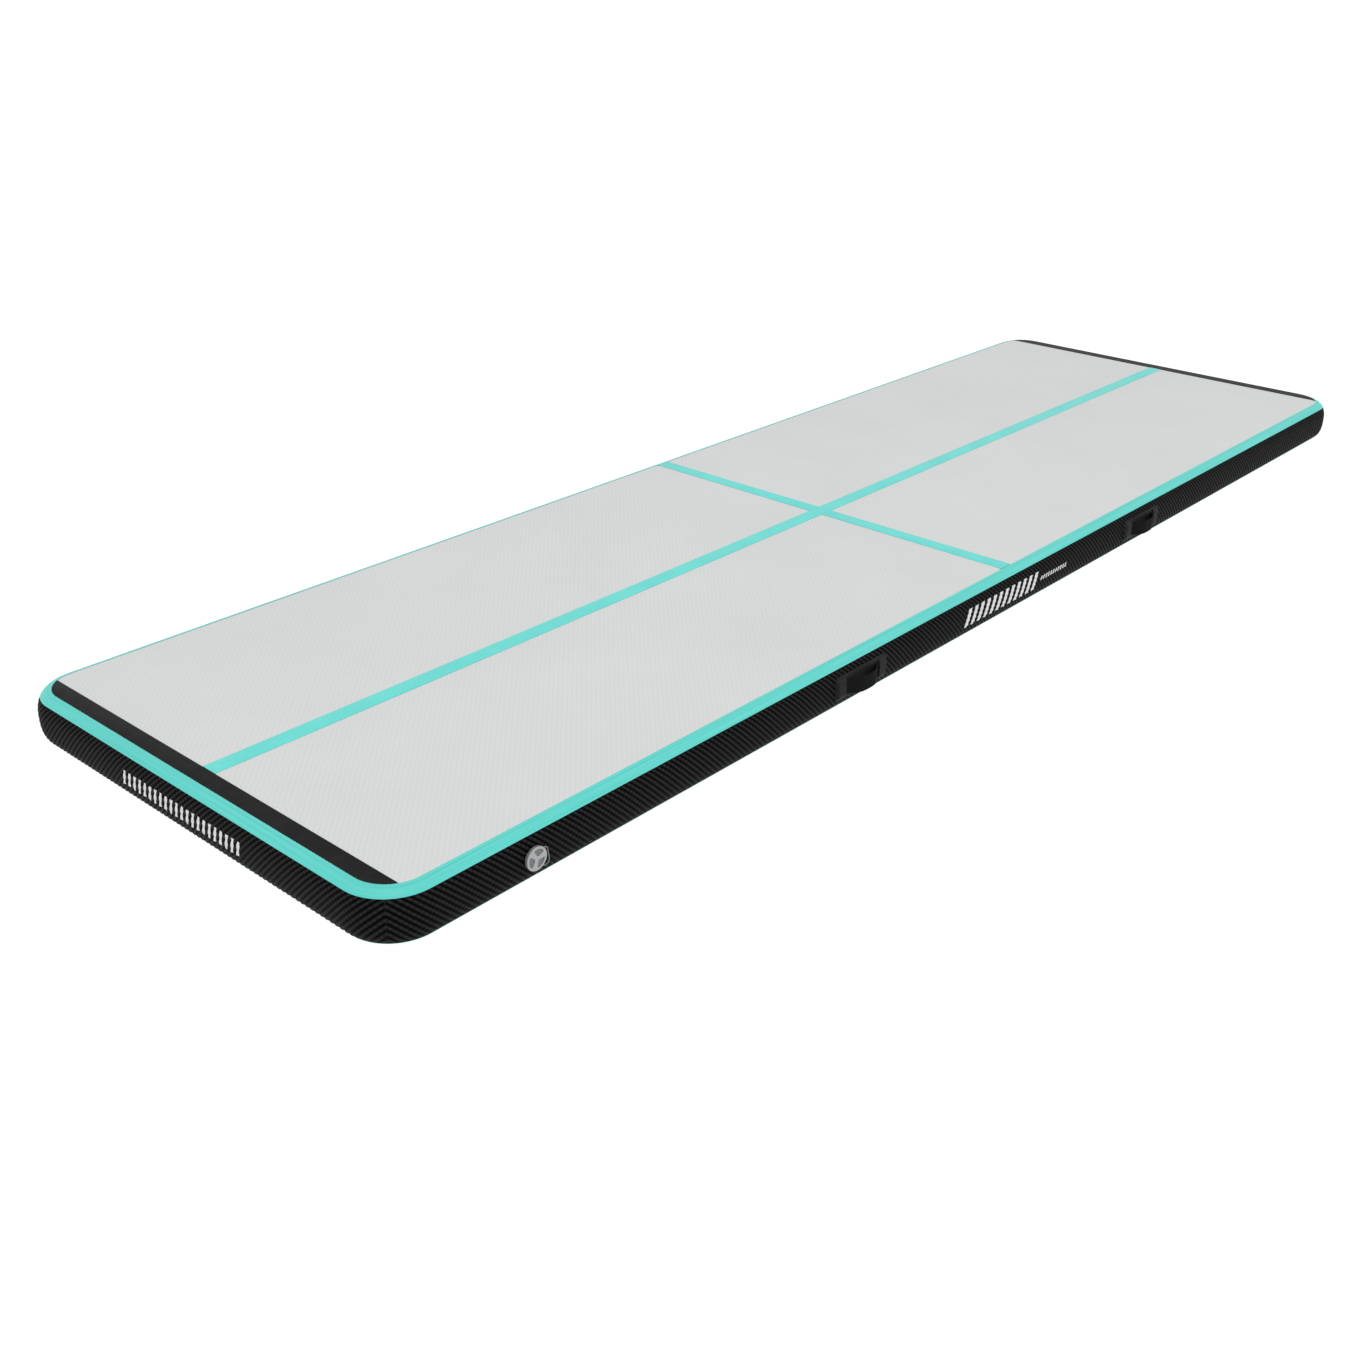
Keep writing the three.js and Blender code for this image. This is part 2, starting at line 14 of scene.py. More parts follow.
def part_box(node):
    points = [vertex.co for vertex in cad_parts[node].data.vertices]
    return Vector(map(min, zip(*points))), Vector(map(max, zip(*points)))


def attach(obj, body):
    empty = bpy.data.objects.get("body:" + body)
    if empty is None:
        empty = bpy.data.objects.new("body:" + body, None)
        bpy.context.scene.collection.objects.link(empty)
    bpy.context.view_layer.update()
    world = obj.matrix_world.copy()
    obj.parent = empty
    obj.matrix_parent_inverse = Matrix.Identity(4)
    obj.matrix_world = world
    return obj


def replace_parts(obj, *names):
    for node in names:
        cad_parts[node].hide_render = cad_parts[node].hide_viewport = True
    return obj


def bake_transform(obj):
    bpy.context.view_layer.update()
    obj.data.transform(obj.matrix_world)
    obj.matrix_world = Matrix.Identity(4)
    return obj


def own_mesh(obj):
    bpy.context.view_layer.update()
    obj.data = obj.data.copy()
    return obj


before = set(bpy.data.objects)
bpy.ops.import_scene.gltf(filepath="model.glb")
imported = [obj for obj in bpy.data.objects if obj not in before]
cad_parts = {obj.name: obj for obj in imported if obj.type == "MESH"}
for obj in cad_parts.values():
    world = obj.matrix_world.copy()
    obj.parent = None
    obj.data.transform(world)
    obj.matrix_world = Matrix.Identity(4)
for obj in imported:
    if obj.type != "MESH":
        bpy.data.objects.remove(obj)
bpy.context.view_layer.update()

# ---- Sizes ----------------------------------------------------------------------------------

MM = 0.001
HALF_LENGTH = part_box("far_end_sidewall")[1].x
HALF_WIDTH = -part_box("front_sidewall")[0].y
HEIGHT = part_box("top_skin")[1].z
MIDDLE = HEIGHT / 2

# The side wall's cross-section is a superellipse, measured outwards from the flat of the deck.
BULGE = 42.1 * MM
POWER = 2.78
CORNER_RADIUS = 93.3 * MM
DECK_EDGE = 13.7 * MM
SKIN_EDGE = 19.5 * MM
TAPE_EDGE = 33.9 * MM
BOTTOM_TAPE_EDGE = 27.5 * MM
CORNER_STEPS = 24
SEAM = 0.3 * MM  # between pieces that touch

SHEET = 0.9 * MM
TAPE = 0.4 * MM

# The ribs of the coated fabric run at 45 degrees over the wall.
EXTRA_RIBS = 192  # on a long side over an end: a whole number, so that ribs meet at every mitre
RIB_PITCH = 2 * (HALF_LENGTH - HALF_WIDTH) / EXTRA_RIBS  # along the wall, and down it
RIB_RISE = 0.3 * MM  # of a crest above the smooth wall
RIB_DEPTH = 1.2 * MM
WALL_INSIDE = 1.1 * MM  # of its inner face, which stays outside the airtight liner
RIB_COLUMNS = 8  # of mesh to each rib
RIB_FADE = 4 * MM  # below the tape
WALL_ROWS = 26
WALL_INNER_ROWS = 8

WEAVE_PITCH = 11.44 * MM  # of the deck's diagonal weave, along the mat and across it
HOLLOW_DEPTH = 1.6 * MM  # of the valve cap's thumb hollows


def profile_table():
    """Where the wall's cross-section is at each distance along it from the flat of the deck."""
    angle = np.linspace(0, math.pi, 4001)
    out = BULGE * np.sin(angle) ** (2 / POWER)
    up = MIDDLE * np.sign(np.cos(angle)) * np.abs(np.cos(angle)) ** (2 / POWER)
    along = np.concatenate([[0], np.cumsum(np.hypot(np.diff(out), np.diff(up)))])
    return angle, out, along


ANGLES, OUTS, ALONG = profile_table()
GIRTH = ALONG[-1]  # of the cross-section from deck to underside


def girth_at(out):
    """How far along the cross-section it has run `out` outwards, on its upper half."""
    half = len(OUTS) // 2
    return float(np.interp(out, OUTS[: half + 1], ALONG[: half + 1]))


def wall_section(v, lift):
    """Inset from the outline and height, at distance v along the cross-section, raised by lift."""
    angle = np.interp(v, ALONG, ANGLES)
    out = (BULGE + lift) * np.sin(angle) ** (2 / POWER)
    up = (MIDDLE + lift) * np.sign(np.cos(angle)) * np.abs(np.cos(angle)) ** (2 / POWER)
    return BULGE - out, MIDDLE + up


# ---- Mesh building --------------------------------------------------------------------------


def piece(name, points, faces, material, slot, body="root", uvs=None, smooth=True):
    """A mesh with its vertices in the row frame, with points that coincide joined up."""
    points = np.asarray(points, float).reshape(-1, 3)
    _, first, index = np.unique(np.round(points / 1e-7), axis=0, return_index=True, return_inverse=True)
    index = index.reshape(-1)
    tidy = []
    for face in faces:
        ring = [index[i] for i in face]
        ring = [v for k, v in enumerate(ring) if v != ring[k - 1]]
        if len(set(ring)) > 2:
            tidy.append(ring)
    mesh = bpy.data.meshes.new(name)
    mesh.from_pydata(points[first].tolist(), [], tidy)
    if uvs is not None:
        layer = mesh.uv_layers.new(name="wall")
        corners = np.empty(len(mesh.loops), np.int32)
        mesh.loops.foreach_get("vertex_index", corners)
        layer.data.foreach_set("uv", np.asarray(uvs, np.float32)[first][corners].ravel())
    mesh.validate()
    mesh.update()
    if smooth:
        mesh.shade_smooth()
    obj = bpy.data.objects.new(name, mesh)
    bpy.context.scene.collection.objects.link(obj)
    mesh.materials.append(material)
    if body:
        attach(obj, body)
    return obj


def loft_faces(count, ring, closed, start=0):
    """Quads between `count` sections of `ring` points each, with a flat cap at each open end."""
    faces = []
    for k in range(count if closed else count - 1):
        a = start + k * ring
        b = start + ((k + 1) % count) * ring
        for j in range(ring):
            i = (j + 1) % ring
            faces.append((a + j, b + j, b + i, a + i))
    if not closed:
        last = start + (count - 1) * ring
        faces.append(tuple(range(start, start + ring)))
        faces.append(tuple(reversed(range(last, last + ring))))
    return faces


def loft(name, sections, material, slot, closed=False, **options):
    sections = np.asarray(sections, float)
    count, ring = sections.shape[:2]
    return piece(name, sections, loft_faces(count, ring, closed), material, slot, **options)


def crease(obj, degrees=40):
    """Keeps sharp the edges that turn more than this many degrees."""
    mesh = obj.data
    mesh.set_sharp_from_angle(angle=math.radians(degrees))
    return obj


def round_path(steps_per_corner=CORNER_STEPS):
    """Stations all round the outline, each a corner and how far round that corner it is."""
    turns = np.linspace(0, 1, steps_per_corner + 1)
    return [(corner, turn) for corner in range(4) for turn in turns]


def around(station, inset, z):
    """Points of the outline moved inwards, at one station."""
    corner, turn = station
    sign_x, sign_y = [(1, 1), (-1, 1), (-1, -1), (1, -1)][corner]
    angle = (corner + turn) * math.pi / 2
    radius = CORNER_RADIUS - inset
    x = sign_x * (HALF_LENGTH - CORNER_RADIUS) + radius * math.cos(angle)
    y = sign_y * (HALF_WIDTH - CORNER_RADIUS) + radius * math.sin(angle)
    return np.stack(np.broadcast_arrays(x, y, z), -1)


# ---- Materials ------------------------------------------------------------------------------


class Shader:
    """A node material with short calls for the nodes that the finishes need."""

    def __init__(self, name, roughness=0.6, specular=0.5):
        self.material = bpy.data.materials.new(name)
        self.material.use_nodes = True
        self.tree = self.material.node_tree
        self.bsdf = self.tree.nodes["Principled BSDF"]
        self.bsdf.inputs["Roughness"].default_value = roughness
        self.bsdf.inputs["Specular IOR Level"].default_value = specular
        self.coords = self.tree.nodes.new("ShaderNodeTexCoord")

    def set(self, node, socket, value):
        if isinstance(value, bpy.types.NodeSocket):
            self.tree.links.new(value, node.inputs[socket])
        elif value is not None:
            node.inputs[socket].default_value = value

    def object(self):
        return self.coords.outputs["Object"]

    def uv(self):
        node = self.tree.nodes.new("ShaderNodeUVMap")
        node.uv_map = "wall"
        return node.outputs["UV"]

    def math(self, operation, a, b=None, c=None):
        node = self.tree.nodes.new("ShaderNodeMath")
        node.operation = operation
        for socket, value in enumerate((a, b, c)):
            self.set(node, socket, value)
        return node.outputs[0]

    def dot(self, vector, weights):
        node = self.tree.nodes.new("ShaderNodeVectorMath")
        node.operation = "DOT_PRODUCT"
        self.set(node, 0, vector)
        self.set(node, 1, weights)
        return node.outputs["Value"]

    def wave(self, vector, pitches):
        """A sine from 0 to 1 whose period along each axis is the pitch given for it."""
        turns = tuple(0.0 if not pitch else 2 * math.pi / pitch for pitch in pitches)
        return self.math("MULTIPLY_ADD", self.math("SINE", self.dot(vector, turns)), 0.5, 0.5)

    def noise(self, vector, scale, detail=3.0, stretch=(1, 1, 1)):
        mapping = self.tree.nodes.new("ShaderNodeMapping")
        self.set(mapping, "Vector", vector)
        self.set(mapping, "Scale", stretch)
        node = self.tree.nodes.new("ShaderNodeTexNoise")
        self.set(node, "Vector", mapping.outputs[0])
        self.set(node, "Scale", scale)
        self.set(node, "Detail", detail)
        return node.outputs[0]

    def ramp(self, value, stops):
        """Colours from (place, grey or colour) stops."""
        node = self.tree.nodes.new("ShaderNodeValToRGB")
        self.set(node, 0, value)
        elements = node.color_ramp.elements
        while len(elements) < len(stops):
            elements.new(0.5)
        for element, (place, colour) in zip(elements, stops):
            element.position = place
            element.color = colour if isinstance(colour, tuple) else (colour, colour, colour, 1)
        return node.outputs[0]

    def mix(self, share, a, b, blend="MIX"):
        node = self.tree.nodes.new("ShaderNodeMix")
        node.data_type = "RGBA"
        node.blend_type = blend
        self.set(node, 0, share)
        self.set(node, 6, a)
        self.set(node, 7, b)
        return node.outputs[2]

    def colour(self, value):
        self.set(self.bsdf, "Base Color", value)

    def rough(self, value, low, high):
        node = self.tree.nodes.new("ShaderNodeMapRange")
        self.set(node, "Value", value)
        self.set(node, "To Min", low)
        self.set(node, "To Max", high)
        self.set(self.bsdf, "Roughness", node.outputs[0])

    def bump(self, *layers):
        """Bump from (height, depth in metres) layers, one on top of another."""
        normal = None
        for height, depth in layers:
            node = self.tree.nodes.new("ShaderNodeBump")
            self.set(node, "Height", height)
            self.set(node, "Distance", depth)
            self.set(node, "Normal", normal)
            normal = node.outputs[0]
        self.set(self.bsdf, "Normal", normal)


def linear(red, green, blue):
    """A colour for a shader from its values on a screen, 0 to 255."""
    shares = [value / 255 for value in (red, green, blue)]
    return tuple(s / 12.92 if s <= 0.04045 else ((s + 0.055) / 1.055) ** 2.4 for s in shares) + (1.0,)


def threads(shader, vector, pitch):
    """The fine crossed threads under a coating."""
    across = shader.wave(vector, (pitch, 0, 0))
    along = shader.wave(vector, (0, pitch, 0))
    return shader.math("MULTIPLY", across, along)


def deck_fabric():
    """Pale grey coated fabric with a shallow diagonal weave, stronger one way than the other."""
    s = Shader("deck_fabric", specular=0.3)
    place = s.object()
    strong = s.wave(place, (WEAVE_PITCH, -WEAVE_PITCH, 0))
    weak = s.wave(place, (WEAVE_PITCH, WEAVE_PITCH, 0))
    weave = s.math("MULTIPLY_ADD", weak, 0.42, s.math("MULTIPLY", strong, 0.58))
    fine = threads(s, place, 1.6 * MM)
    cloud = s.noise(place, 5, 4)
    # painted shade: the weave's low threads are painted a little darker than its raised ones, on top of the
    # bump's own shading
    tone = s.ramp(weave, [(0.0, linear(188, 190, 189)), (1.0, linear(195, 197, 196))])
    mottled = s.mix(0.1, tone, s.ramp(cloud, [(0.3, 0.46), (0.7, 0.66)]))
    s.colour(mottled)
    s.rough(s.noise(place, 30, 4), 0.5, 0.68)
    s.bump((weave, 0.22 * MM), (fine, 0.03 * MM), (s.noise(place, 900, 2), 0.02 * MM))
    return s.material


def ribbed(name, lean):
    """Black coated fabric whose ribs are geometry; this paints shade into the grooves and into the low parts
    of the twists, and twists the crests with bump.
    """
    s = Shader(name, specular=0.03)
    place = s.uv()
    phase = s.dot(place, (math.pi / RIB_PITCH, -lean * math.pi / RIB_PITCH, 0))
    crest = s.math("ABSOLUTE", s.math("COSINE", phase))
    twist = s.wave(place, (RIB_PITCH, lean * RIB_PITCH, 0))
    # painted shade: the grooves between the rib crests are painted far darker than the crests
    shade = s.ramp(crest, [(0.3, 0.0004), (0.68, 0.005), (0.97, 0.021)])
    # painted shade: the low parts of the twists along each rib are painted darker
    painted_groove_and_twist_shade = s.mix(0.6, shade, s.ramp(twist, [(0.1, 0.35), (0.9, 1.0)]), "MULTIPLY")
    wear = s.noise(place, 70, 5)
    s.colour(s.mix(0.3, painted_groove_and_twist_shade, s.ramp(wear, [(0.3, 0.5), (0.7, 1.0)]), "MULTIPLY"))
    s.rough(crest, 0.66, 0.54)
    fine = threads(s, place, 1.45 * MM)
    s.bump((twist, 0.3 * MM), (fine, 0.05 * MM), (s.noise(place, 700, 2), 0.03 * MM))
    return s.material


def tape_coating():
    """Teal welded tape with faint lines from the welding wheel, and a darker line of painted shade along the
    step where its two widths overlap.
    """
    start = girth_at(DECK_EDGE)
    width = girth_at(TAPE_EDGE) - start
    s = Shader("teal_tape", specular=0.35)
    place = s.uv()
    streaks = s.noise(place, 1, 4, (3, 420, 1))
    tone = s.ramp(streaks, [(0.3, linear(73, 184, 175)), (0.7, linear(88, 197, 189))])
    share = s.math("SUBTRACT", s.dot(place, (0, 1 / width, 0)), start / width)
    # painted shade: a darker line where the upper width steps down onto the lower one
    overlap_step_shade = s.ramp(share, [(0.23, 1.0), (0.27, 0.8), (0.31, 1.0)])
    s.colour(s.mix(1.0, tone, overlap_step_shade, "MULTIPLY"))
    s.rough(s.noise(place, 60, 4), 0.38, 0.52)
    s.bump((streaks, 0.12 * MM), (s.noise(place, 400, 3), 0.04 * MM))
    return s.material


def line_coating():
    """Teal tape laid flat on the deck, which prints its weave through it."""
    s = Shader("teal_line", specular=0.35)
    place = s.object()
    weave = s.wave(place, (WEAVE_PITCH, -WEAVE_PITCH, 0))
    cloud = s.noise(place, 12, 4)
    s.colour(s.ramp(cloud, [(0.3, linear(86, 194, 187)), (0.7, linear(93, 201, 193))]))
    s.rough(s.noise(place, 60, 4), 0.42, 0.55)
    s.bump((weave, 0.08 * MM), (s.noise(place, 500, 3), 0.03 * MM))
    return s.material


def smooth_black(name, level, specular=0.2):
    """Plain black coated sheet, as on the stripes and the handles' patches."""
    s = Shader(name, specular=specular)
    place = s.object()
    cloud = s.noise(place, 25, 5)
    s.colour(s.ramp(cloud, [(0.3, level * 0.8), (0.7, level * 1.25)]))
    s.rough(s.noise(place, 90, 4), 0.45, 0.62)
    s.bump((threads(s, place, 1.3 * MM), 0.02 * MM), (s.noise(place, 600, 3), 0.05 * MM))
    return s.material


def webbing_fabric():
    """Woven black webbing, with its cords running along the strap."""
    s = Shader("webbing_fabric", specular=0.04)
    place = s.object()
    picks = s.wave(place, (1.9 * MM, 0, 3.8 * MM))
    back_picks = s.wave(place, (1.9 * MM, 0, -3.8 * MM))
    weave = s.math("MAXIMUM", picks, back_picks)
    s.colour(s.ramp(weave, [(0.2, 0.002), (0.9, 0.009)]))
    s.rough(weave, 0.85, 0.7)
    s.bump((weave, 0.25 * MM), (s.noise(place, 1500, 2), 0.1 * MM))
    return s.material


def thread_fibre():
    s = Shader("sewing_thread", specular=0.3)
    place = s.object()
    ply = s.wave(place, (0.7 * MM, 0.7 * MM, 0.7 * MM))
    s.colour(s.ramp(ply, [(0.2, 0.012), (0.9, 0.035)]))
    s.rough(ply, 0.7, 0.55)
    s.bump((ply, 0.06 * MM))
    return s.material


def valve_plastic(name, dark, light):
    """Moulded grey plastic with a fine spark-eroded texture."""
    s = Shader(name, specular=0.4)
    place = s.object()
    cloud = s.noise(place, 60, 5)
    s.colour(s.ramp(cloud, [(0.3, dark), (0.7, light)]))
    s.rough(s.noise(place, 300, 3), 0.36, 0.5)
    s.bump((s.noise(place, 1400, 3), 0.05 * MM))
    return s


VALVE_DARK, VALVE_LIGHT = linear(146, 147, 148), linear(158, 159, 160)
TETHER_DARK, TETHER_LIGHT = linear(112, 113, 114), linear(122, 123, 124)


def cap_plastic(face_y):
    """The cap's plastic, with painted shade that darkens it with depth into the thumb hollows."""
    s = valve_plastic("cap_plastic", VALVE_DARK, VALVE_LIGHT)
    # painted shade: the colour ramps darker the deeper the face sinks into a hollow
    sunk = s.math("ADD", s.dot(s.object(), (0, 1, 0)), -face_y)
    depth = s.math("MULTIPLY", sunk, 1 / HOLLOW_DEPTH)
    s.colour(s.ramp(depth, [(0.15, linear(154, 155, 156)), (0.85, linear(106, 107, 108))]))
    return s.material


def white_ink():
    """Screen-printed ink, a little thin and broken on the ribs' sides."""
    s = Shader("white_ink", specular=0.3)
    place = s.object()
    speckle = s.noise(place, 900, 4)
    s.colour(s.ramp(speckle, [(0.3, 0.42), (0.6, 0.72)]))
    s.rough(speckle, 0.5, 0.65)
    s.bump((speckle, 0.04 * MM))
    return s.material


def plain_finish(name, colour, roughness, scale, depth, metallic=0.0):
    """A finish for a hidden piece: mottled colour, uneven gloss and a fine grain."""
    s = Shader(name, specular=0.4)
    s.bsdf.inputs["Metallic"].default_value = metallic
    place = s.object()
    dark = tuple(0.82 * part for part in colour[:3]) + (1.0,)
    s.colour(s.ramp(s.noise(place, scale / 8, 4), [(0.3, dark), (0.7, colour)]))
    s.rough(s.noise(place, scale / 3, 3), roughness - 0.08, roughness + 0.08)
    s.bump((s.noise(place, scale, 3), depth))
    return s.material


DECK = deck_fabric()
RIBS = {1: ribbed("ribbed_wall_right", 1), -1: ribbed("ribbed_wall_left", -1)}
TEAL_TAPE = tape_coating()
TEAL_LINE = line_coating()
STRIPE_BLACK = smooth_black("stripe_black", 0.012, 0.05)
PATCH_BLACK = smooth_black("patch_black", 0.015, 0.07)
WEBBING = webbing_fabric()
THREAD = thread_fibre()
PLASTIC = valve_plastic("valve_plastic", VALVE_DARK, VALVE_LIGHT).material
TETHER_PLASTIC = valve_plastic("tether_plastic", TETHER_DARK, TETHER_LIGHT).material
CAP_PLASTIC = cap_plastic(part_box("valve_cap")[0].y)
INK = white_ink()
LINER = plain_finish("liner_fabric", linear(150, 154, 154), 0.6, 900, 0.05 * MM)
YARN = plain_finish("yarn", linear(232, 230, 222), 0.9, 2500, 0.2 * MM)
RUBBER = plain_finish("seal_rubber", linear(30, 30, 31), 0.75, 1500, 0.06 * MM)
STEEL = plain_finish("spring_steel", linear(200, 202, 204), 0.3, 3000, 0.01 * MM, metallic=1.0)

# ---- Camera, light and floor ----------------------------------------------------------------


def camera():
    place = Vector((-2.6709, -1.9933, 1.3385))
    yaw, pitch, roll = 0.7367, -0.4606, 0.0021
    ahead = Vector((math.cos(pitch) * math.cos(yaw), math.cos(pitch) * math.sin(yaw), math.sin(pitch)))
    turn = ahead.to_track_quat("-Z", "Y") @ Matrix.Rotation(roll, 3, "Z").to_quaternion()
    data = bpy.data.cameras.new("camera")
    data.lens = 42.8
    data.sensor_width = 36
    made = bpy.data.objects.new("camera", data)
    made.matrix_world = Matrix.Translation(place) @ turn.to_matrix().to_4x4()
    bpy.context.scene.collection.objects.link(made)
    bpy.context.scene.camera = made


def soft_box(name, place, size, power):
    data = bpy.data.lights.new(name, "AREA")
    data.shape = "DISK"
    data.size = size
    data.energy = power
    made = bpy.data.objects.new(name, data)
    made.location = place
    made.rotation_euler = (-Vector(place)).to_track_quat("-Z", "Y").to_euler()
    bpy.context.scene.collection.objects.link(made)


def studio():
    world = bpy.data.worlds.new("studio")
    world.use_nodes = True
    backdrop = world.node_tree.nodes["Background"]
    backdrop.inputs["Color"].default_value = (1, 1, 1, 1)
    backdrop.inputs["Strength"].default_value = 1.02
    bpy.context.scene.world = world
    bpy.context.scene.view_settings.view_transform = "Standard"
    soft_box("key", (-2.5, -1.5, 4.5), 3.5, 60)
    soft_box("fill", (3.0, -3.0, 3.0), 4.0, 25)


def floor():
    s = Shader("floor", roughness=0.9, specular=0.1)
    s.bsdf.inputs["Emission Color"].default_value = (1, 1, 1, 1)
    s.bsdf.inputs["Emission Strength"].default_value = 0.95
    s.colour(s.ramp(s.noise(s.object(), 3, 3), [(0.3, 0.14), (0.7, 0.16)]))
    half = 40.0
    below = -0.4 * MM
    corners = [(-half, -half, below), (half, -half, below), (half, half, below), (-half, half, below)]
    made = piece("floor", corners, [(0, 1, 2, 3)], s.material, None, body=None)


camera()
studio()
floor()

# ---- Skins ----------------------------------------------------------------------------------


def skin(name, node, upside_down):
    """A face sheet: flat over the deck, then down the shoulder to its edge under the rail tape."""
    rim = np.linspace(0, girth_at(SKIN_EDGE) - SEAM, 7)
    outer = wall_section(rim, 0)
    inner = wall_section(rim[::-1], -SHEET)
    inset = np.concatenate([outer[0], inner[0]])
    z = np.concatenate([outer[1], inner[1]])
    if upside_down:
        z = HEIGHT - z
    sections = [around(station, inset, z) for station in round_path()]
    count = len(sections)
    ring = len(inset)
    faces = []
    for k in range(count):
        a, b = k * ring, (k + 1) % count * ring
        faces += [(a + j, b + j, b + j + 1, a + j + 1) for j in range(ring - 1)]
    faces.append(tuple(k * ring for k in range(count)))
    faces.append(tuple(k * ring + ring - 1 for k in reversed(range(count))))
    made = outward(piece(name, sections, faces, DECK, "deck"))
    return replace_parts(crease(made, 50), node)


def outward(obj):
    """Turns every face of a closed piece outwards."""
    work = bmesh.new()
    work.from_mesh(obj.data)
    bmesh.ops.recalc_face_normals(work, faces=work.faces)
    work.to_mesh(obj.data)
    work.free()
    return obj


skin("deck_sheet", "top_skin", False)
skin("base_sheet", "bottom_skin", True)

# ---- Ribbed side wall -----------------------------------------------------------------------

WALL_TOP = girth_at(SKIN_EDGE) + SEAM
WALL_BOTTOM = GIRTH - WALL_TOP
RIB_TOP = girth_at(TAPE_EDGE)
RIB_BOTTOM = GIRTH - girth_at(BOTTOM_TAPE_EDGE)


def rib_lift(side, x, v):
    """How far the ribbed surface stands off the smooth wall: shallow crests, deeper grooves."""
    crest = np.abs(np.cos(math.pi * (rib_place(side, x) - side["lean"] * (v - GIRTH / 2)) / RIB_PITCH)) ** 0.8
    from_tape = np.minimum(v - RIB_TOP, RIB_BOTTOM - v)
    fade = np.clip(from_tape / RIB_FADE, 0, 1)
    fade = fade * fade * (3 - 2 * fade)
    return (RIB_RISE - RIB_DEPTH * (1 - crest)) * fade


def rib_place(side, x):
    """Distance along a side from the end of its straight where its ribs and the next side's meet."""
    return x + side["lean"] * (side["half_length"] - CORNER_RADIUS)


def side_point(side, x, v, lift):
    """A point of a side's wall: x along it from its middle, v down it, and raised by lift."""
    straight = side["half_length"] - CORNER_RADIUS
    smooth_radius = CORNER_RADIUS - wall_section(v, 0)[0]
    angle = np.arcsin(np.clip((np.abs(x) - straight) / smooth_radius, 0, 1))
    inset, z = wall_section(v, lift)
    radius = CORNER_RADIUS - inset
    along = np.sign(x) * (np.minimum(np.abs(x), straight) + radius * np.sin(angle))
    out = side["reach"] - CORNER_RADIUS + radius * np.cos(angle)
    cos, sin = math.cos(side["turn"]), math.sin(side["turn"])
    return np.stack([along * cos + out * sin, along * sin - out * cos, z], -1)


SIDES = {
    "front": {"turn": 0.0, "half_length": HALF_LENGTH, "reach": HALF_WIDTH, "lean": 1},
    "far_end": {"turn": math.pi / 2, "half_length": HALF_WIDTH, "reach": HALF_LENGTH, "lean": -1},
    "back": {"turn": math.pi, "half_length": HALF_LENGTH, "reach": HALF_WIDTH, "lean": 1},
    "near_end": {"turn": -math.pi / 2, "half_length": HALF_WIDTH, "reach": HALF_LENGTH, "lean": -1},
}


def wall_strip(name):
    """One side of the wall, between the mitres in the middles of its corners.

    The mesh's columns follow the ribs, so they lean, and are cut off at the mitres.
    """
    side = SIDES[name]
    straight = side["half_length"] - CORNER_RADIUS
    outer = np.linspace(WALL_TOP, WALL_BOTTOM, WALL_ROWS)
    inner = np.linspace(WALL_BOTTOM, WALL_TOP, WALL_INNER_ROWS)
    v = np.concatenate([outer, inner])
    radius = CORNER_RADIUS - wall_section(v, 0)[0]
    mitre = straight + radius * np.sin(math.pi / 4 - SEAM / 2 / radius)
    ribs = math.ceil((side["half_length"] + GIRTH / 2) / RIB_PITCH)
    columns = np.arange(-ribs * RIB_COLUMNS, ribs * RIB_COLUMNS + 1) * RIB_PITCH / RIB_COLUMNS
    columns = columns - rib_place(side, 0) % RIB_PITCH
    x = np.clip(columns[:, None] + side["lean"] * (v - GIRTH / 2), -mitre, mitre)
    rows = np.broadcast_to(v, x.shape)
    lift = rib_lift(side, x, rows)
    lift[:, WALL_ROWS:] = -WALL_INSIDE
    uvs = np.stack([rib_place(side, x), rows - GIRTH / 2], -1).reshape(-1, 2)
    points = side_point(side, x, rows, lift)
    made = loft(f"{name}_wall", points, RIBS[side["lean"]], "ribbed_wall", uvs=uvs)
    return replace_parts(crease(outward(made), 60), f"{name}_sidewall")


WALLS = {name: wall_strip(name) for name in SIDES}

# ---- Rail tapes -----------------------------------------------------------------------------


# Across the tape: share of its width and of its thickness, with a step where two widths overlap.
TAPE_SHAPE = [(0, 0.1), (0.004, 0.56), (0.02, 0.74), (0.1, 0.74), (0.2, 0.74), (0.26, 0.7), (0.28, 0.96)]
TAPE_SHAPE += [(0.4, 1), (0.55, 1), (0.7, 1), (0.85, 1), (0.97, 1), (0.995, 0.78), (1, 0.1)]


def rail_tape(name, node, edge, upside_down):
    """Welded tape over the shoulder, in two overlapping widths with a small step between them."""
    start, end = girth_at(DECK_EDGE), girth_at(edge)
    v = start + (end - start) * np.array([share for share, _ in TAPE_SHAPE])
    inset, z = wall_section(v, SEAM + TAPE * np.array([height for _, height in TAPE_SHAPE]))
    under_inset, under_z = wall_section(v[::-1], SEAM)
    v = np.concatenate([v, v[::-1]])
    inset, z = np.concatenate([inset, under_inset]), np.concatenate([z, under_z])
    if upside_down:
        z = HEIGHT - z
    stations = round_path()
    sections = np.array([around(station, inset, z) for station in stations])
    steps = np.linalg.norm(np.diff(sections[:, 0], axis=0), axis=1)
    s = np.concatenate([[0], np.cumsum(steps)])
    uvs = np.stack(np.broadcast_arrays(s[:, None], v), -1).reshape(-1, 2)
    made = loft(name, sections, TEAL_TAPE, "teal_tape", closed=True, uvs=uvs)
    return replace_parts(crease(outward(made), 50), node)


rail_tape("top_rail", "top_rail_tape", TAPE_EDGE, False)
rail_tape("bottom_rail", "bottom_rail_tape", BOTTOM_TAPE_EDGE, True)

# ---- Lines and stripes on the deck ----------------------------------------------------------


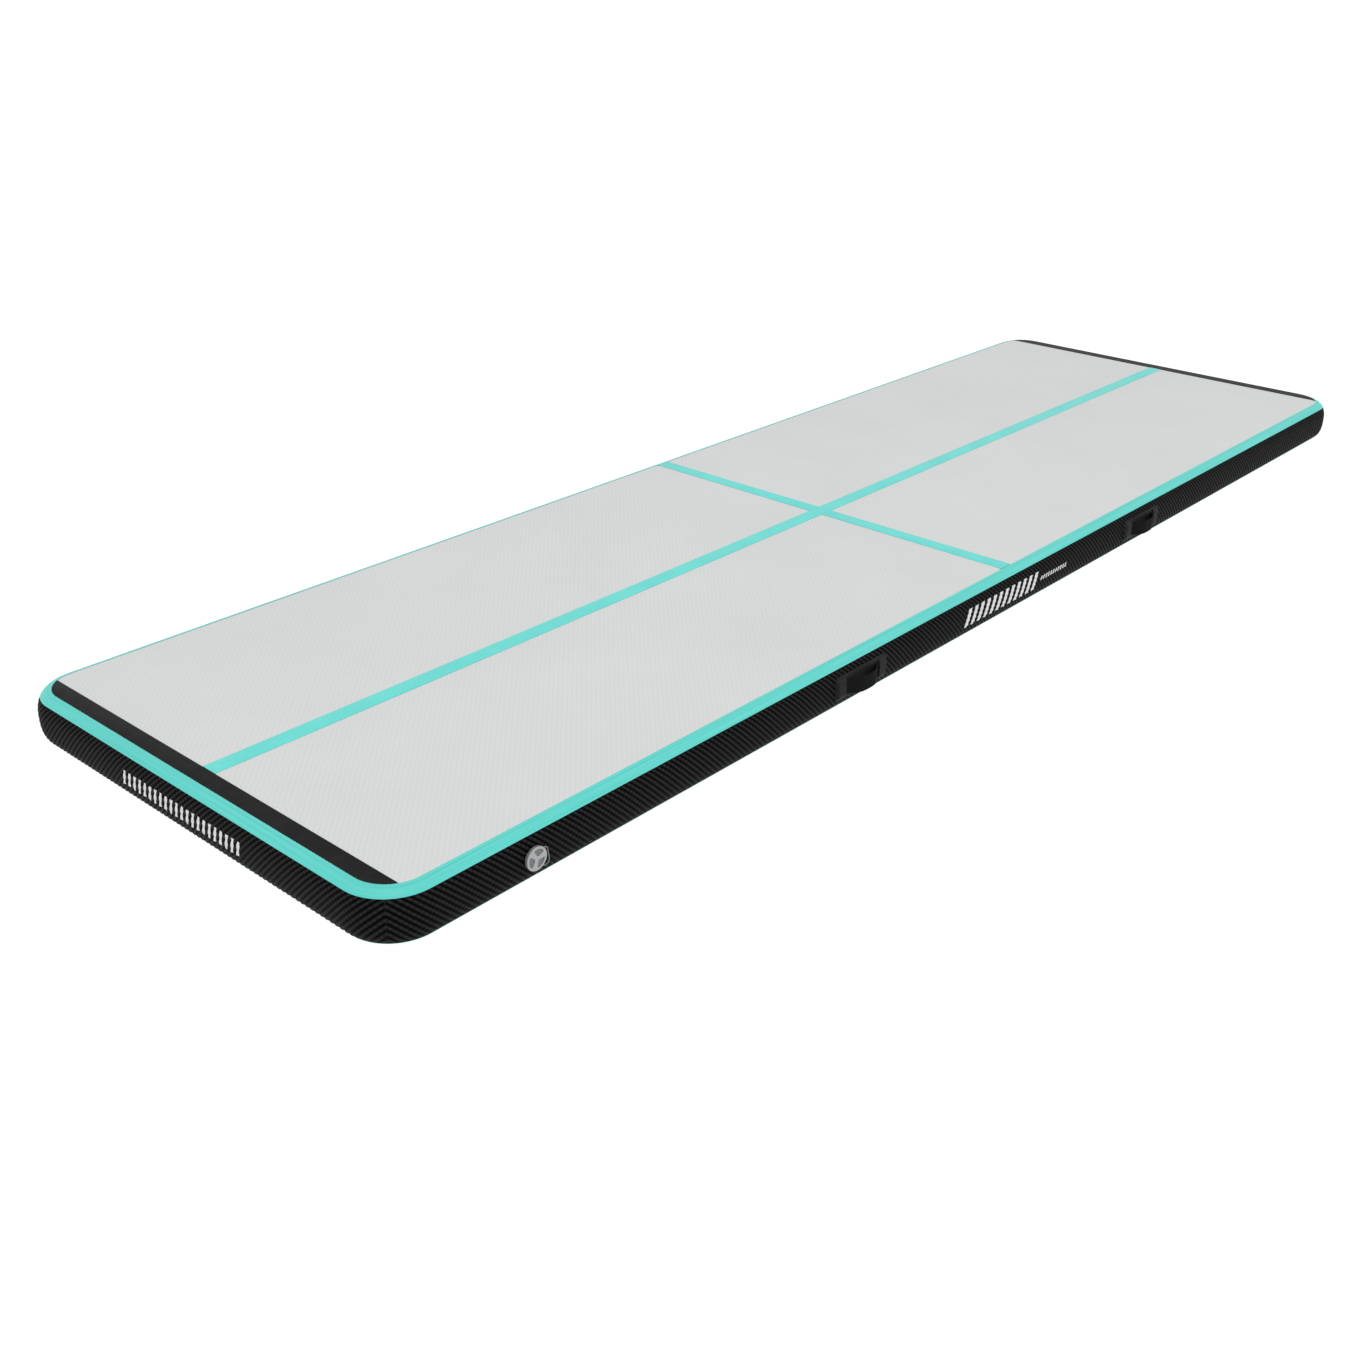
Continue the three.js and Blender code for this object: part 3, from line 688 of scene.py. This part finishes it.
def inward(outline, distance):
    """An anticlockwise outline moved inwards."""
    ahead = np.roll(outline, -1, axis=0) - outline
    ahead /= np.linalg.norm(ahead, axis=1, keepdims=True)
    normal = np.stack([-ahead[:, 1], ahead[:, 0]], -1)
    before = np.roll(normal, 1, axis=0)
    middle = (normal + before) / 2
    return outline + distance * middle / np.sum(middle * middle, axis=1, keepdims=True)


LINE_CLEARANCE = 0.05 * MM  # between a line and the deck
LINE_ROUNDING = 0.2 * MM  # of a line's upper edge


def flat_strip(name, node, outline, material, slot):
    """A strip lying on the deck, with its upper edge rounded off."""
    low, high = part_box(node)
    bottom, top = low.z - SEAM + LINE_CLEARANCE, high.z
    edge = LINE_ROUNDING
    rings = [(0, bottom), (0, top - edge), (0.3 * edge, top - 0.3 * edge), (edge, top)]
    sections = [np.column_stack([inward(outline, inset), np.full(len(outline), z)]) for inset, z in rings]
    made = loft(name, sections, material, slot)
    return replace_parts(crease(outward(made), 30), node)


def rectangle(node):
    low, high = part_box(node)
    return np.array([(low.x, low.y), (high.x, low.y), (high.x, high.y), (low.x, high.y)])


def stripe_outline(node):
    """A stripe's ends follow the deck's rounded corners."""
    low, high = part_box(node)
    radius = CORNER_RADIUS - BULGE + DECK_EDGE
    side = math.copysign(1, low.x)
    inner = min(abs(low.x), abs(high.x))
    centre_x, centre_y = HALF_LENGTH - CORNER_RADIUS, HALF_WIDTH - CORNER_RADIUS
    reach = math.acos((inner - centre_x) / radius)
    angles = np.linspace(-reach, 0, 25)
    lower = np.stack([centre_x + radius * np.cos(angles), -centre_y + radius * np.sin(angles)], -1)
    upper = lower[::-1] * (1, -1)
    return side * np.concatenate([lower, upper])


for line in ("centre_line", "cross_line_front", "cross_line_back"):
    flat_strip(f"{line}_tape", line, rectangle(line), TEAL_LINE, "teal_tape")
for stripe in ("near_end_stripe", "far_end_stripe"):
    flat_strip(f"{stripe}_sheet", stripe, stripe_outline(stripe), STRIPE_BLACK, "smooth_black")

# ---- Carry handles --------------------------------------------------------------------------

PATCH = {"half_length": 76.5 * MM, "half_height": 23.5 * MM, "corner": 8 * MM, "thickness": 1.0 * MM}
COVER = {"half_length": 11.5 * MM, "half_height": 20 * MM, "corner": 4 * MM, "thickness": 1.0 * MM}
COVER_X = 61.5 * MM
WEBBING_WIDTH = 30 * MM
WEBBING_THICK = 2.0 * MM
WEBBING_END = 71 * MM
LOOP_HALF_SPAN = 47 * MM
LOOP_STAND_OFF = 19 * MM
LOOP_POWER = 1.8
HANDLE_LIFT = 1.6 * MM  # of the webbing's inner face from the wall
DRAPE_PAST_END = 1.5 * MM  # past the webbing's end, where its cover is down on the patch
DRAPE_PAST_EDGE = 3.5 * MM
PAD_CORE = 0.5 * MM  # half the width of the last ring in a pad's middle
TIGHTEST_CORNER = 0.3 * MM
CORDS = 10  # across the webbing
CORD_GROOVE = 0.3 * MM
SELVEDGE = 0.6 * MM
STITCH_INSET = 3 * MM  # from a cover's edge
STITCH = {"length": 3.2 * MM, "pitch": 4.6 * MM, "width": 0.7 * MM, "height": 0.35 * MM}


def wall_reach(z, lift):
    """How far out from the middle of the mat the long wall is at a height."""
    share = np.abs(z - MIDDLE) / (MIDDLE + lift)
    return HALF_WIDTH - BULGE + (BULGE + lift) * (1 - share**POWER) ** (1 / POWER)


def rounded_rectangle(half_length, half_height, corner, corner_steps=8, side_steps=10):
    """Points round a rectangle with rounded corners, anticlockwise."""
    points = []
    for k, (sx, sy) in enumerate([(1, -1), (1, 1), (-1, 1), (-1, -1)]):
        angles = np.linspace((k - 1) * math.pi / 2, k * math.pi / 2, corner_steps + 1)
        x = sx * (half_length - corner) + corner * np.cos(angles)
        y = sy * (half_height - corner) + corner * np.sin(angles)
        points += list(zip(x, y))
        following = [(1, 1), (-1, 1), (-1, -1), (1, -1)][k]
        start = np.array(points[-1])
        turn = k * math.pi / 2
        end = np.array(
            (
                following[0] * (half_length - corner) + corner * math.cos(turn),
                following[1] * (half_height - corner) + corner * math.sin(turn),
            )
        )
        points += [tuple(start + (end - start) * i / side_steps) for i in range(1, side_steps)]
    return np.array(points)


def placed(points, x, side):
    """Points drawn for a handle on the front wall, moved to one of the four handles."""
    points = np.asarray(points, float)
    return points * (side, side, 1) + (x, 0, 0)


# In from a pad's edge: millimetres, and share of its thickness. The dip is its welded seam.
PAD_SHAPE = [(0, 0.45), (0.25, 0.85), (0.8, 1), (3, 1), (4, 0.86), (5, 1), (10, 1), (15, 1)]


def draped(along, up, lift):
    """A cover's lift, falling to the patch past the edges of the webbing that it covers."""
    past_end = (np.abs(along) - WEBBING_END) / DRAPE_PAST_END
    past_edge = (np.abs(up) - WEBBING_WIDTH / 2) / DRAPE_PAST_EDGE
    share = np.clip(np.maximum(past_end, past_edge), 0, 1)
    return lift - share * share * (3 - 2 * share) * (lift - HANDLE_LIFT)


def pad(name, size, middle, lift, node, x, side, drape=False):
    """A welded pad with a rounded edge and corners, on the wall's bulge or draped over the webbing."""
    thick = size["thickness"]
    deepest = min(size["half_height"], size["half_length"]) - PAD_CORE
    layers = [(deepest, 0), (10 * MM, 0), (6 * MM, 0), (3 * MM, 0), (0, 0)]
    layers += [(inset * MM, share * thick) for inset, share in PAD_SHAPE]
    layers += [(deepest, thick)]
    sections = []
    for inset, raised in layers:
        inset = min(inset, deepest)
        corner = max(size["corner"] - inset, TIGHTEST_CORNER)
        outline = rounded_rectangle(size["half_length"] - inset, size["half_height"] - inset, corner)
        along, z = middle + outline[:, 0], MIDDLE + outline[:, 1]
        base = draped(along, outline[:, 1], lift) if drape else lift
        points = np.stack([along, -wall_reach(z, base + raised), z], -1)
        sections.append(placed(points, x, side))
    made = loft(name, sections, PATCH_BLACK, "smooth_black")
    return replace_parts(crease(outward(made), 55), node)


def stand_off(x):
    """How far the webbing's middle plane stands off the wall, at x from the handle's middle."""
    base = HANDLE_LIFT + WEBBING_THICK / 2
    share = np.minimum(np.abs(x) / LOOP_HALF_SPAN, 1) ** LOOP_POWER
    return base + (LOOP_STAND_OFF - base) * (1 + np.cos(math.pi * share)) / 2


def webbing_section():
    """Across the webbing: height from its middle and offset from its middle plane, with cords."""
    half = WEBBING_WIDTH / 2
    across = np.linspace(-half + SELVEDGE, half - SELVEDGE, CORDS * 4 + 1)
    bead = np.abs(np.sin(CORDS * math.pi * (across + half) / WEBBING_WIDTH))
    face = WEBBING_THICK / 2 - CORD_GROOVE * (1 - bead)
    edge = [(half - 0.15 * MM, 0.55 * MM), (half, 0), (half - 0.15 * MM, -0.55 * MM)]
    front = list(zip(across, face))
    back = list(zip(across[::-1], -face[::-1]))
    return np.array(front + edge + back + [(-height, -offset) for height, offset in edge])


def strap(handle, x, side):
    """The webbing: down under both covers, and bowing out between them for the hand."""
    along = np.linspace(-WEBBING_END, WEBBING_END, 97)
    slope = np.gradient(stand_off(along), along)
    normal = np.stack([-slope, np.ones_like(slope)], -1) / np.hypot(1, slope)[:, None]
    section = webbing_section()
    sections = []
    for at, (nx, ny) in zip(along, normal):
        px = at + section[:, 1] * nx
        py = -HALF_WIDTH - stand_off(at) - section[:, 1] * ny
        sections.append(placed(np.stack([px, py, MIDDLE + section[:, 0]], -1), x, side))
    made = loft(f"{handle}_webbing", sections, WEBBING, "webbing", body=None)
    crease(outward(made), 60)
    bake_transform(made)
    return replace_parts(made, f"{handle}_loop", f"{handle}_left_end", f"{handle}_right_end")


def stitch_rows(name, paths, lift, thick, x, side):
    """Sewn stitches along closed paths of (x, height) points that lie on a handle's covers."""
    points, faces = [], []
    ring = 6
    for path in paths:
        path = np.asarray(path)
        hops = np.linalg.norm(np.diff(path, axis=0), axis=1)
        run = np.concatenate([[0], np.cumsum(hops)])
        count = max(1, int(run[-1] / STITCH["pitch"]))
        for k in range(count):
            middle = (k + 0.5) * run[-1] / count
            ends = [middle - STITCH["length"] / 2, middle + STITCH["length"] / 2]
            a, b = (np.array([np.interp(e, run, path[:, i]) for i in (0, 1)]) for e in ends)
            ahead = (b - a) / np.linalg.norm(b - a)
            across = np.array((-ahead[1], ahead[0]))
            start = len(points)
            for share, fat in ((0, 0.35), (0.15, 0.85), (0.5, 1), (0.85, 0.85), (1, 0.35)):
                centre = a + (b - a) * share
                for turn in np.linspace(0, 2 * math.pi, ring, endpoint=False):
                    along, up = centre + across * math.cos(turn) * fat * STITCH["width"] / 2
                    raised = thick + fat * STITCH["height"] * (0.35 + math.sin(turn)) / 1.35
                    reach = wall_reach(MIDDLE + up, draped(along, up, lift) + raised)
                    points.append((along, -reach, MIDDLE + up))
            faces += loft_faces(5, ring, False, start)
    made = piece(name, placed(points, x, side), faces, THREAD, "webbing")
    return outward(made)


def box_path(half_x, half_z, middle=0.0):
    corners = [(-1, -1), (1, -1), (1, 1), (-1, 1), (-1, -1)]
    return [(middle + across * half_x, up * half_z) for across, up in corners]


def cover_lift(name):
    """How far the inner face of a handle's covers stands off the wall."""
    low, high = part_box(f"{name}_left_cover")
    reach = max(abs(low.y), abs(high.y))
    return reach - HALF_WIDTH - COVER["thickness"]


def handle(name, x, side):
    pad(f"{name}_base_pad", PATCH, 0.0, SEAM, f"{name}_patch", x, side)
    lift = cover_lift(name)
    for end, middle in (("left", -COVER_X), ("right", COVER_X)):
        pad(f"{name}_{end}_end_pad", COVER, middle, lift, f"{name}_{end}_cover", x, side, drape=True)
    strap(name, x, side)
    half_x, half_z = COVER["half_length"] - STITCH_INSET, COVER["half_height"] - STITCH_INSET
    rows = [box_path(half_x, half_z, middle) for middle in (-COVER_X, COVER_X)]
    stitch_rows(f"{name}_stitching", rows, lift, COVER["thickness"], x, side)


for handle_name in ("front_near", "front_far", "back_near", "back_far"):
    low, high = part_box(f"{handle_name}_handle_patch")
    handle(f"{handle_name}_handle", (low.x + high.x) / 2, 1 if low.y < 0 else -1)

# ---- Air valve ------------------------------------------------------------------------------

VALVE_LOW, VALVE_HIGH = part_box("valve_body")
VALVE_X = (VALVE_LOW.x + VALVE_HIGH.x) / 2
VALVE_Z = (VALVE_LOW.z + VALVE_HIGH.z) / 2
# Millimetres, with heights out from the wall.
BARREL_OUTER = 14.2
HOLE_DEPTH = 30
CAP = {"outer": 20, "groove": 18, "groove_top": 3.4, "inner": 15.5, "bottom": 2.2, "roof": 4.8, "face": 7}
CAP_BEVEL = {"across": 0.7, "down": 1.4}
CAP_LOBE = {"inner": 4.6, "outer": 16.2, "half_angle": 0.8, "depth": HOLLOW_DEPTH / MM, "first": 1.22}
CAP_LOBES = 3
HUB_TOP = -13.0
BUTTON_BOTTOM = -1.5
SPRING = {"radius": 3.4, "wire": 0.4, "turns": 4, "clear": 0.5}
RING_WIDTH = 1.2
RING_EASE = 0.12
TETHER_RADIUS = 0.8
# Distance from the valve's axis and angle in degrees, from the right-hand side up.
TETHER_ROUTE = [
    (21, 27), (24.2, 21), (25.7, 12), (26.2, 1), (27.4, -12),
    (30.2, -23), (31.9, -33), (30.6, -42), (26.6, -50), (21, -57),
]


def on_valve(radius, angle, height):
    """Millimetres from the valve's axis and out of the wall, into the row frame."""
    x = VALVE_X + radius * np.cos(angle) * MM
    z = VALVE_Z + radius * np.sin(angle) * MM
    return np.stack(np.broadcast_arrays(x, -HALF_WIDTH - height * MM, z), -1)


def valve_hole(wall):
    """Cuts the valve's hole through the front wall."""
    radius = BARREL_OUTER * MM + SEAM
    bpy.ops.mesh.primitive_cylinder_add(vertices=96, radius=radius, depth=HOLE_DEPTH * MM)
    drill = bpy.context.object
    drill.location = (VALVE_X, -HALF_WIDTH, VALVE_Z)
    drill.rotation_euler = (math.pi / 2, 0, 0)
    cut = wall.modifiers.new("valve_hole", "BOOLEAN")
    cut.operation = "DIFFERENCE"
    cut.object = drill
    bpy.context.view_layer.update()
    holed = bpy.data.meshes.new_from_object(wall.evaluated_get(bpy.context.evaluated_depsgraph_get()))
    wall.modifiers.clear()
    wall.data = holed
    bpy.data.objects.remove(drill)


def cap_profile():
    """The cap's section from the axis inside, round the skirt and groove, to the edge of its face."""
    face, bevel = CAP["face"], CAP["face"] - CAP_BEVEL["down"]
    rim = CAP["outer"] - CAP_BEVEL["across"]
    inside = [(0.01, CAP["roof"]), (CAP["inner"], CAP["roof"]), (CAP["inner"], CAP["bottom"])]
    groove = [(CAP["groove"], CAP["bottom"]), (CAP["groove"], CAP["groove_top"] - 0.2)]
    groove += [(CAP["groove"] + 0.2, CAP["groove_top"]), (CAP["outer"] - 0.3, CAP["groove_top"])]
    edge = [(CAP["outer"], CAP["groove_top"] + 0.3), (CAP["outer"], bevel - 0.2)]
    edge += [(CAP["outer"] - 0.1, bevel + 0.3), (rim + 0.2, face - 0.3), (rim, face - 0.1), (rim - 0.3, face)]
    return inside + groove + edge


def lobe_sink(radius, off_lobe):
    """How deep the thumb hollows are, 0 to 1, at a radius and an angle from a hollow's middle."""
    middle = (CAP_LOBE["outer"] + CAP_LOBE["inner"]) / 2
    half = (CAP_LOBE["outer"] - CAP_LOBE["inner"]) / 2
    share = np.clip((radius - CAP_LOBE["inner"]) / (2 * half), 0, 1)
    half_angle = CAP_LOBE["half_angle"] * (0.6 + 0.4 * share)
    off = (np.abs((radius - middle) / half) ** 4 + np.abs(off_lobe / half_angle) ** 4) ** 0.25
    sink = np.clip((1.04 - off) / 0.1, 0, 1)
    return sink * sink * (3 - 2 * sink)


def valve_cap():
    """A low screw cap with three thumb hollows between three spokes."""
    angles = np.linspace(0, 2 * math.pi, 240, endpoint=False)
    spacing = 2 * math.pi / CAP_LOBES
    off_lobe = (angles - CAP_LOBE["first"] + spacing / 2) % spacing - spacing / 2
    profile = cap_profile()
    sections = [on_valve(radius, angles, height) for radius, height in profile]
    for radius in np.linspace(profile[-1][0] - 0.3, 0.01, 64):
        height = CAP["face"] - CAP_LOBE["depth"] * lobe_sink(radius, off_lobe)
        sections.append(on_valve(radius, angles, height))
    made = loft("screw_cap", sections, CAP_PLASTIC, "valve_plastic", body="cap")
    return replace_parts(crease(outward(made), 45), "valve_cap")


def band(name, node, body):
    """A flat moulded ring of the tether, with its edges eased."""
    low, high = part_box(node)
    outer = (high.x - low.x) / 2 / MM
    inner = outer - RING_WIDTH
    bottom, top = (-HALF_WIDTH - high.y) / MM, (-HALF_WIDTH - low.y) / MM
    ease = RING_EASE
    profile = [(inner + ease, bottom), (outer - ease, bottom), (outer, bottom + ease), (outer, top - ease)]
    profile += [(outer - ease, top), (inner + ease, top), (inner, top - ease), (inner, bottom + ease)]
    angles = np.linspace(0, 2 * math.pi, 96, endpoint=False)
    sections = [[on_valve(radius, angle, height) for radius, height in profile] for angle in angles]
    made = loft(name, sections, TETHER_PLASTIC, "valve_plastic", closed=True, body=body)
    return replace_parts(crease(outward(made), 35), node)


def tube(name, path, radius, sides, material, slot, **options):
    """A round tube along a path of points."""
    path = np.asarray(path, float)
    ahead = np.gradient(path, axis=0)
    ahead /= np.linalg.norm(ahead, axis=1, keepdims=True)
    side = np.cross(ahead[0], (0.0, 1.0, 0.0))
    sections = []
    for point, direction in zip(path, ahead):
        side = side - direction * np.dot(side, direction)
        side /= np.linalg.norm(side)
        up = np.cross(direction, side)
        turns = np.linspace(0, 2 * math.pi, sides, endpoint=False)[:, None]
        sections.append(point + radius * (np.cos(turns) * side + np.sin(turns) * up))
    return outward(loft(name, sections, material, slot, **options))


def through(points, spans=8):
    """A smooth path through points, with `spans` steps between each two of them."""
    points = np.asarray(points, float)
    ends = np.concatenate([[2 * points[0] - points[1]], points, [2 * points[-1] - points[-2]]])
    path = []
    for a, b, c, d in zip(ends, ends[1:], ends[2:], ends[3:]):
        for t in np.arange(spans) / spans:
            bend = (2 * a - 5 * b + 4 * c - d) * t**2 + (3 * b - a - 3 * c + d) * t**3
            path.append(b + ((c - a) * t + bend) / 2)
    return np.array(path + [points[-1]])


def tether():
    """The cap's tether: from the ring under the cap, out in a bow, to the ring in its groove."""
    heights = []
    for node in ("tether_base_ring", "tether_cap_ring"):
        low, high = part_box(node)
        heights.append((-HALF_WIDTH - (low.y + high.y) / 2) / MM)
    radius, degrees = np.array(TETHER_ROUTE, float).T
    height = np.linspace(heights[0], heights[1], len(radius))
    path = through(on_valve(radius, np.radians(degrees), height))
    made = tube("cap_tether", path, TETHER_RADIUS * MM, 14, TETHER_PLASTIC, "valve_plastic", body=None)
    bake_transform(made)
    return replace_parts(made, "tether_strap")


def spring():
    """The poppet's spring, which closes up between the hub and the button."""
    margin = SPRING["wire"] + SPRING["clear"]
    low, high = HUB_TOP + margin, BUTTON_BOTTOM - margin
    share = np.linspace(0, 1, SPRING["turns"] * 32 + 1)
    angle = share * SPRING["turns"] * 2 * math.pi
    path = on_valve(SPRING["radius"], angle, low + (high - low) * share)
    made = tube("poppet_spring", path, SPRING["wire"] * MM, 10, STEEL, "spring_steel")
    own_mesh(made)
    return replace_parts(made, "valve_spring")


valve_hole(WALLS["front"])
valve_cap()
band("tether_base_band", "tether_base_ring", "root")
band("tether_cap_band", "tether_cap_ring", "cap_carrier")
tether()
spring()

# ---- Generic print --------------------------------------------------------------------------


INK_GRID = 1.4 * MM
INK_TOP = 0.12 * MM  # off the ribs
INK_UNDERSIDE = 0.02 * MM


def ink_bar(side, start, end, top, bottom, slant, points, faces):
    """One slanted bar of ink that follows the ribs of a wall."""
    columns = max(2, int((end - start) / INK_GRID))
    rows = max(2, int((bottom - top) / INK_GRID))
    along, down = np.linspace(start, end, columns + 1), np.linspace(top, bottom, rows + 1)
    x, v = np.meshgrid(along, down, indexing="ij")
    x = x - slant * (v - (top + bottom) / 2)
    lift = rib_lift(side, x, v)
    first = len(points)
    for raised in (INK_TOP, INK_UNDERSIDE):
        points += side_point(side, x, v, lift + raised).reshape(-1, 3).tolist()
    across = rows + 1
    layer = (columns + 1) * across
    rim = [i * across for i in range(columns + 1)]
    rim += [columns * across + j for j in range(1, across)]
    rim += [i * across + rows for i in reversed(range(columns))]
    rim += list(reversed(range(1, rows)))
    for i in range(columns):
        for j in range(rows):
            a = first + i * across + j
            faces.append((a, a + across, a + across + 1, a + 1))
            faces.append((a + layer, a + layer + 1, a + layer + across + 1, a + layer + across))
    for k, at in enumerate(rim):
        following = rim[(k + 1) % len(rim)]
        faces.append((first + at, first + following, first + layer + following, first + layer + at))


def print_bars(name, side_name, bars):
    """A group of slanted bars: (start, width, height, slant), along the wall's middle."""
    points, faces = [], []
    for start, width, height, slant in bars:
        top, bottom = GIRTH / 2 - height / 2, GIRTH / 2 + height / 2
        ink_bar(SIDES[side_name], start, start + width, top, bottom, slant, points, faces)
    return outward(piece(name, points, faces, INK, None))


def bar_row(first, pitch, count, width, height, slant):
    """Bars side by side along a wall."""
    return [(first + k * pitch, width, height, slant) for k in range(count)]


BROAD = bar_row(first=-0.178, pitch=22.4 * MM, count=12, width=11 * MM, height=36 * MM, slant=0.4)
SHORT = bar_row(first=0.098, pitch=9.6 * MM, count=11, width=5 * MM, height=9 * MM, slant=0.4)
EVEN = bar_row(first=-0.160, pitch=15 * MM, count=22, width=6.5 * MM, height=27 * MM, slant=0.25)
print_bars("front_print", "front", BROAD + SHORT)
print_bars("near_end_print", "near_end", EVEN)

# ---- Finishes of the CAD pieces that stay ---------------------------------------------------

KEPT = {
    "drop_stitch_core": YARN,
    "inner_sidewall": LINER,
    "valve_body": PLASTIC,
    "backnut": PLASTIC,
    "valve_stem": PLASTIC,
    "outer_gasket": RUBBER,
    "inner_gasket": RUBBER,
    "seal_disc": RUBBER,
    "cap_seal": RUBBER,
}
for node, material in KEPT.items():
    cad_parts[node].data.materials.clear()
    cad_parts[node].data.materials.append(material)
